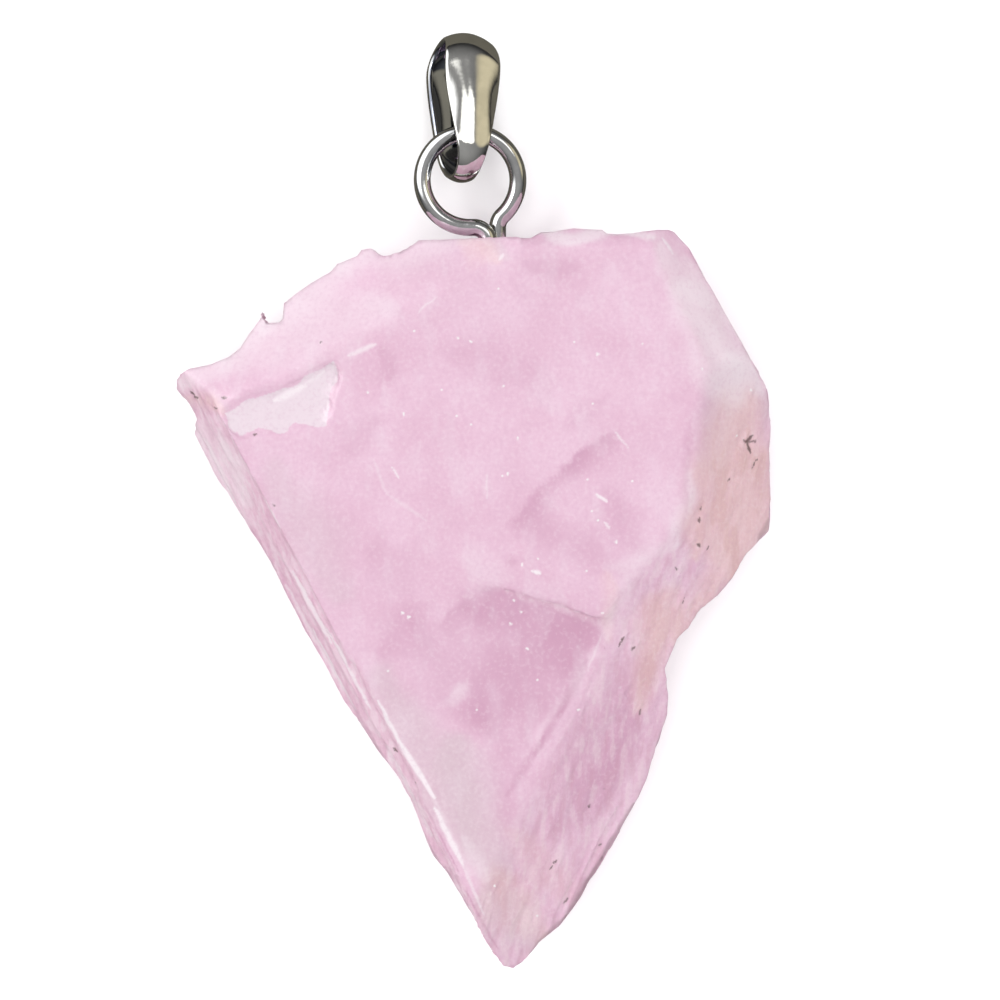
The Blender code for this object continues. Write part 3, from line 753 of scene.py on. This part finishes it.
# The dark specks, and the painted shade along the lower right rim
colour = washed(tree, colour, paint(SPECK_AND_RIM_SHADE), masks["specks_and_rim_shade"], 0.9)
tree.links.new(colour, shader.inputs["Base Color"])
roughness = maths(tree, "MULTIPLY_ADD", masks["flank"], FLANK_DULLNESS, ROUGHNESS)
tree.links.new(roughness, shader.inputs["Roughness"])
ridges = maths(tree, "MULTIPLY", fibres, masks["flank"])
relief = add(tree, "ShaderNodeBump", {
    "Height": maths(tree, "MULTIPLY_ADD", ridges, FIBRE_DEPTH, grain),
    "Distance": GRAIN_DEPTH, "Strength": 0.5,
})
tree.links.new(relief.outputs["Normal"], shader.inputs["Normal"])
shader.inputs["IOR"].default_value = KUNZITE_IOR
shader.inputs["Transmission Weight"].default_value = CLEARNESS
stone.data.materials.append(kunzite)
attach(stone, "stone")
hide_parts("kunzite")

# The eye. One silver wire bent to a ring whose ends cross at the stone, where both legs go down
# the drilled hole and are glued. The wire is drawn, polished and a little scratched.

WIRE = 0.85 * MM
RING_CENTRE = Vector((-0.25, 16.1, 3.1)) * MM
RING_RADIUS = 2.4 * MM
LEG_OFFSET = 0.45 * MM
UPPER_LEG_X = 0.65 * MM
UPPER_LEG_BEND = 0.7 * MM
LOWER_LEG_START = 42
LOWER_LEG_BEND = 0.9 * MM
LEG_END = 9.6 * MM
BEND_STEP, RING_STEP = 5, 3
WIRE_COLOUR, WIRE_ROUGHNESS, WIRE_HAZE = (0.80, 0.80, 0.80), 0.04, 1.3
SILVER_DULLING = 0.88
SILVER_HAZING = 0.12
SCRATCHES = 9.0, 2.0, (1.0, 0.12, 1.0), 20.0
SCRATCH_DEPTH, HAZE_DEPTH = 0.12, 0.03 * MM
INSIDE_PAINTED_SHADE = (0.16, 0.18, 0.24, 1.0)


def ring_point(degrees, radius=RING_RADIUS):
    """A point of the eye's ring, clockwise from its bottom, sinking from one leg to the other."""
    turn = math.radians(degrees)
    out = Vector((-math.sin(turn), -math.cos(turn), 0)) * radius
    return RING_CENTRE + out + UP * LEG_OFFSET * (1 - 2 * degrees / (360 - LOWER_LEG_START))


def eye_path():
    """The wire's middle line: up one leg, round the ring, and down the other leg."""
    bend = Vector((UPPER_LEG_X - UPPER_LEG_BEND, RING_CENTRE.y - RING_RADIUS - UPPER_LEG_BEND, 0))
    bend.z = RING_CENTRE.z + LEG_OFFSET
    path = [Vector((UPPER_LEG_X, LEG_END, bend.z)), Vector((UPPER_LEG_X, bend.y, bend.z))]
    for degrees in range(BEND_STEP, 90, BEND_STEP):
        turn = math.radians(degrees)
        path.append(bend + Vector((math.cos(turn), math.sin(turn), 0)) * UPPER_LEG_BEND)
    last = 360 - LOWER_LEG_START
    path += [ring_point(degrees) for degrees in range(1, last, RING_STEP)]
    end = ring_point(last)
    path.append(end)
    start = math.radians(LOWER_LEG_START)
    for degrees in range(LOWER_LEG_START - BEND_STEP, -1, -BEND_STEP):
        turn = math.radians(degrees)
        side = LOWER_LEG_BEND * (math.cos(turn) - math.cos(start))
        down = LOWER_LEG_BEND * (math.sin(start) - math.sin(turn))
        path.append(end + Vector((-side, -down, 0)))
    path.append(Vector((path[-1].x, LEG_END, end.z)))
    return path


eye_line = bpy.data.curves.new("eye_wire", "CURVE")
eye_line.dimensions = "3D"
eye_line.bevel_depth = WIRE / 2
eye_line.bevel_resolution = 8
eye_line.use_fill_caps = True
eye_points = eye_path()
eye_spline = eye_line.splines.new("POLY")
eye_spline.points.add(len(eye_points) - 1)
for point, place in zip(eye_spline.points, eye_points):
    point.co = (*place, 1.0)
eye_spline.use_smooth = True
eye = linked(eye_line, "eye_wire")


# The haze and the scratches that polishing leaves on the wire and on the bail
polish = bpy.data.node_groups.new("polish", "ShaderNodeTree")
polish.interface.new_socket(name="Haze Scale", in_out="INPUT", socket_type="NodeSocketFloat")
polish.interface.new_socket(name="Haze", in_out="OUTPUT", socket_type="NodeSocketFloat")
polish.interface.new_socket(name="Scratches", in_out="OUTPUT", socket_type="NodeSocketFloat")
on_metal = in_mm(polish)
haze_scale = add(polish, "NodeGroupInput", {}).outputs["Haze Scale"]
add(polish, "NodeGroupOutput", {
    "Haze": cloud(polish, on_metal, haze_scale),
    "Scratches": cloud(polish, on_metal, *SCRATCHES),
})


def silver(name, colour, roughness, haze_scale):
    """Polished silver, a little hazed and scratched, with a painted shade inside a bent strip."""
    metal = bpy.data.materials.new(name)
    metal.use_nodes = True
    tree = metal.node_tree
    shader = tree.nodes["Principled BSDF"]
    marks = add(tree, "ShaderNodeGroup", {"Haze Scale": haze_scale}, node_tree=polish).outputs
    dulled = [level * SILVER_DULLING for level in colour]
    hazed = fade(tree, marks["Haze"], 0.65, 0.4)
    tint = washed(tree, (*colour, 1.0), (*dulled, 1.0), hazed)
    inside = add(tree, "ShaderNodeAttribute", {}, attribute_name="inside").outputs["Fac"]
    # Painted shade where the strip faces into its own loop
    tint = washed(tree, tint, INSIDE_PAINTED_SHADE, inside, 0.85)
    tree.links.new(tint, shader.inputs["Base Color"])
    dullness = maths(tree, "MULTIPLY_ADD", marks["Haze"], SILVER_HAZING, roughness)
    tree.links.new(dullness, shader.inputs["Roughness"])
    dents = add(tree, "ShaderNodeBump", {
        "Height": maths(tree, "MULTIPLY_ADD", marks["Scratches"], SCRATCH_DEPTH, marks["Haze"]),
        "Distance": HAZE_DEPTH, "Strength": 0.25,
    })
    tree.links.new(dents.outputs["Normal"], shader.inputs["Normal"])
    shader.inputs["Metallic"].default_value = 1.0
    return metal


eye.data.materials.append(silver("silver_wire", WIRE_COLOUR, WIRE_ROUGHNESS, WIRE_HAZE))
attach(eye, "stone")
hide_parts("wire_eye")

# The bail. A strip of silver sheet, narrow where it holds the ring and wide at the cord, domed
# across its width and bent to a closed loop round the ring. Its edges are eased and polished.

BAIL_ON_RING = 170.4
BAIL_PIVOT_RADIUS = RING_RADIUS - 0.3 * MM
BAIL_THICKNESS = 0.34 * MM
BAIL_NEAR_RADIUS = 1.6 * MM
BAIL_FAR_RADIUS = 1.65 * MM
BAIL_NEAR_CENTRE = -0.42 * MM
BAIL_FAR_CENTRE = 3.635 * MM
BAIL_NEAR_HALF_WIDTH = 0.63 * MM
BAIL_FAR_HALF_WIDTH = 1.2 * MM
BAIL_WIDEST_HALF_WIDTH = 1.5 * MM
BAIL_WIDEST = 0.79
BAIL_SWELL = 1.1
BAIL_DOME = 0.22 * MM
BAIL_CURVE = 0.32
BAIL_ARC_STEPS = 40
BAIL_LEAF_STEPS = 20
BAIL_LANES = 16
BAIL_EDGE = 0.11 * MM
BAIL_RIM = math.radians(50)
BAIL_SHARP = math.radians(40)
BAIL_ROLL = 20
BAIL_DROP = 15
BAIL_COLOUR, BAIL_ROUGHNESS, BAIL_HAZE = (0.86, 0.85, 0.82), 0.02, 0.8


def bail_loop():
    """The bail's middle line in its own plane, as (along, depth), all the way round."""
    gap = BAIL_FAR_CENTRE - BAIL_NEAR_CENTRE
    lean = math.asin((BAIL_FAR_RADIUS - BAIL_NEAR_RADIUS) / gap)
    ends = []
    for centre, radius, facing, half in (
        (BAIL_FAR_CENTRE, BAIL_FAR_RADIUS, 0.0, math.pi / 2 + lean),
        (BAIL_NEAR_CENTRE, BAIL_NEAR_RADIUS, math.pi, math.pi / 2 - lean),
    ):
        arc = []
        for step in range(BAIL_ARC_STEPS + 1):
            turn = facing + half * (2 * step / BAIL_ARC_STEPS - 1)
            arc.append(Vector((centre + radius * math.cos(turn), radius * math.sin(turn))))
        ends.append(arc)
    far, near = ends
    shares = [step / BAIL_LEAF_STEPS for step in range(1, BAIL_LEAF_STEPS)]
    front_leaf = [far[-1].lerp(near[0], part) for part in shares]
    back_leaf = [near[-1].lerp(far[0], part) for part in shares]
    return far + front_leaf + near + back_leaf


def bail_half_width(along):
    """Narrow where the strip holds the ring, and widest a little before its far end."""
    near_end = BAIL_NEAR_CENTRE - BAIL_NEAR_RADIUS
    part = (along - near_end) / (BAIL_FAR_CENTRE + BAIL_FAR_RADIUS - near_end)
    if part < BAIL_WIDEST:
        grown = math.sin(math.pi / 2 * (max(0.0, part) / BAIL_WIDEST) ** BAIL_SWELL)
        return BAIL_NEAR_HALF_WIDTH + (BAIL_WIDEST_HALF_WIDTH - BAIL_NEAR_HALF_WIDTH) * grown
    past = (part - BAIL_WIDEST) / (1 - BAIL_WIDEST)
    return BAIL_WIDEST_HALF_WIDTH - (BAIL_WIDEST_HALF_WIDTH - BAIL_FAR_HALF_WIDTH) * past ** 2


bail_line = bail_loop()
bail_shape = bmesh.new()
bmesh.ops.create_circle(bail_shape, segments=len(bail_line), radius=1.0)
lane = bail_shape.edges[:]
for _ in range(BAIL_LANES):
    grown = bmesh.ops.extrude_edge_only(bail_shape, edges=lane)["geom"]
    lane = [item for item in grown if isinstance(item, bmesh.types.BMEdge)]
    verts = [item for item in grown if isinstance(item, bmesh.types.BMVert)]
    bmesh.ops.translate(bail_shape, verts=verts, vec=UP)
bail_middle = Vector(((BAIL_FAR_CENTRE + BAIL_NEAR_CENTRE) / 2, 0))
for vert in bail_shape.verts:
    turn = math.atan2(vert.co.y, vert.co.x) / math.tau
    on_line = bail_line[round(turn * len(bail_line)) % len(bail_line)]
    side = 2 * vert.co.z / BAIL_LANES - 1
    half_width = bail_half_width(on_line.x)
    rise = BAIL_DOME - BAIL_CURVE * half_width * side * side
    raised = on_line + (on_line - bail_middle).normalized() * rise
    vert.co = (side * half_width, raised.x, raised.y)
bmesh.ops.recalc_face_normals(bail_shape, faces=bail_shape.faces)
bmesh.ops.solidify(bail_shape, geom=bail_shape.faces[:], thickness=BAIL_THICKNESS)
bmesh.ops.recalc_face_normals(bail_shape, faces=bail_shape.faces)
rims = [edge for edge in bail_shape.edges if edge.calc_face_angle(0) > BAIL_RIM]
bmesh.ops.bevel(
    bail_shape, geom=rims, offset=BAIL_EDGE, segments=3, profile=0.5, affect="EDGES", material=-1
)
bail_shape.normal_update()
# Where the strip faces into its own loop, the silver gets a painted shade
inside = bail_shape.verts.layers.float.new("inside")
for vert in bail_shape.verts:
    outward = (Vector((0, vert.co.y, vert.co.z)) - bail_middle.to_3d().zxy).normalized()
    vert[inside] = share(-vert.normal.dot(outward), 0.2, 0.5)
bail_pose = Matrix.Translation(ring_point(BAIL_ON_RING, BAIL_PIVOT_RADIUS))
bail_pose = bail_pose @ Matrix.Rotation(math.radians(-BAIL_DROP), 4, "X")
bail_pose = bail_pose @ Matrix.Rotation(math.radians(BAIL_ROLL), 4, "Y")
bmesh.ops.transform(bail_shape, verts=bail_shape.verts, matrix=bail_pose)
bail = linked(mesh_from(bail_shape, "bail_strip"), "bail_strip")
bail.data.shade_smooth()
bail.data.set_sharp_from_angle(angle=BAIL_SHARP)
bail.data.materials.append(silver("silver", BAIL_COLOUR, BAIL_ROUGHNESS, BAIL_HAZE))
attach(bail, "bail")
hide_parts("bail")
